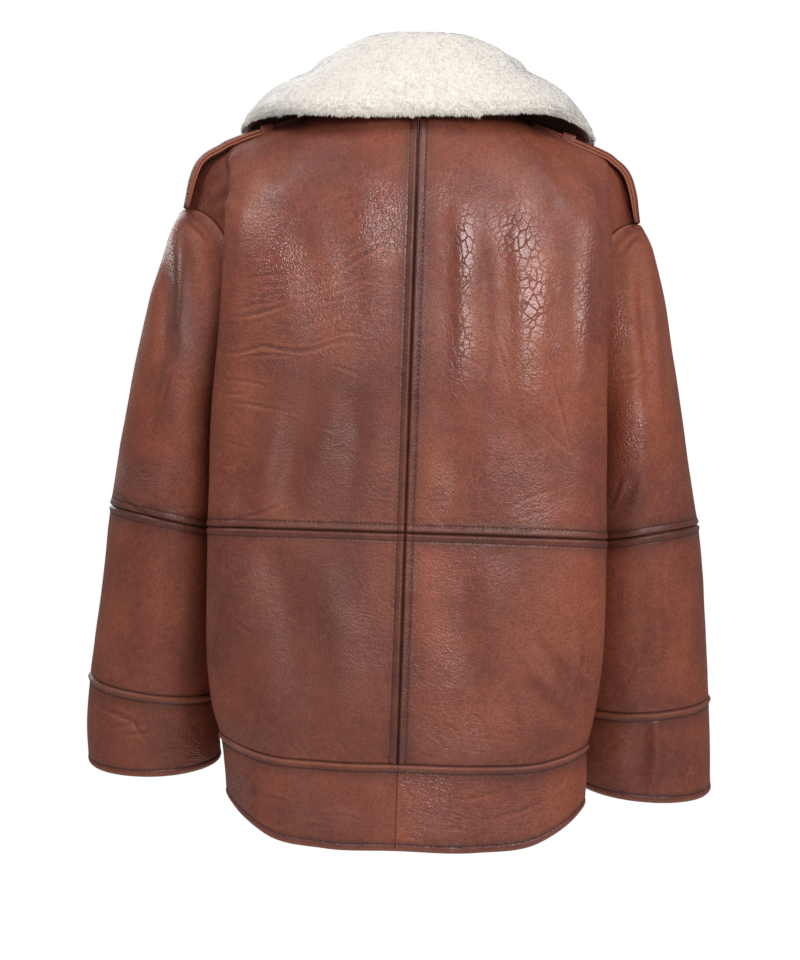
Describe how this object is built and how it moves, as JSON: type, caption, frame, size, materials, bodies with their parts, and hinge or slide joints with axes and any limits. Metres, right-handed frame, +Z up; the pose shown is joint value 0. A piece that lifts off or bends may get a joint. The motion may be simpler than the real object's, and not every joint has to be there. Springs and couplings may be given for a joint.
{
  "type": "leather jacket",
  "caption": "Hip-length leather flying jacket, filled out as worn, with shearling collar, shoulder straps, hem band, cuff bands and a closed front zip.",
  "frame": {"origin": "between the shoulders, level with the shoulder seams, where the wearer carries the jacket", "axes": "+Z up along the body, the front faces -Y, +X towards the wearer's left sleeve"},
  "size_m": [0.633, 0.2741, 0.7881],
  "materials": {
    "leather": "burnished reddish-brown leather, soft gloss",
    "strap_leather": "the same leather in two layers, cut edges tan",
    "wool": "cream shearling pile",
    "zip_tape": "woven dark brown tape",
    "zip_metal": "aged brass"
  },
  "bodies": {
    "jacket": {"back_upper_left": "leather", "back_upper_right": "leather", "back_lower_left": "leather", "back_lower_right": "leather", "front_left": "leather", "front_right": "leather", "hem_band_left": "leather", "hem_band_right": "leather", "sleeve_upper_left": "leather", "sleeve_upper_right": "leather", "sleeve_lower_left": "leather", "sleeve_lower_right": "leather", "cuff_left": "leather", "cuff_right": "leather", "under_collar": "leather", "collar_fur": "wool", "epaulette_left": "strap_leather", "epaulette_right": "strap_leather", "epaulette_loop_left": "strap_leather", "epaulette_loop_right": "strap_leather", "zip_tape_left": "zip_tape", "zip_tape_right": "zip_tape", "zip_chain": "zip_metal", "zip_slider": "zip_metal"},
    "zip_pull": {"zip_pull": "zip_metal"}
  },
  "joints": [
    {"name": "zip_pull_swing", "type": "hinge", "parent": "jacket", "child": "zip_pull", "pos_m": [0, -0.11981, -0.07477], "axis": [-1, 0, 0], "range_deg": [0, 110]}
  ]
}
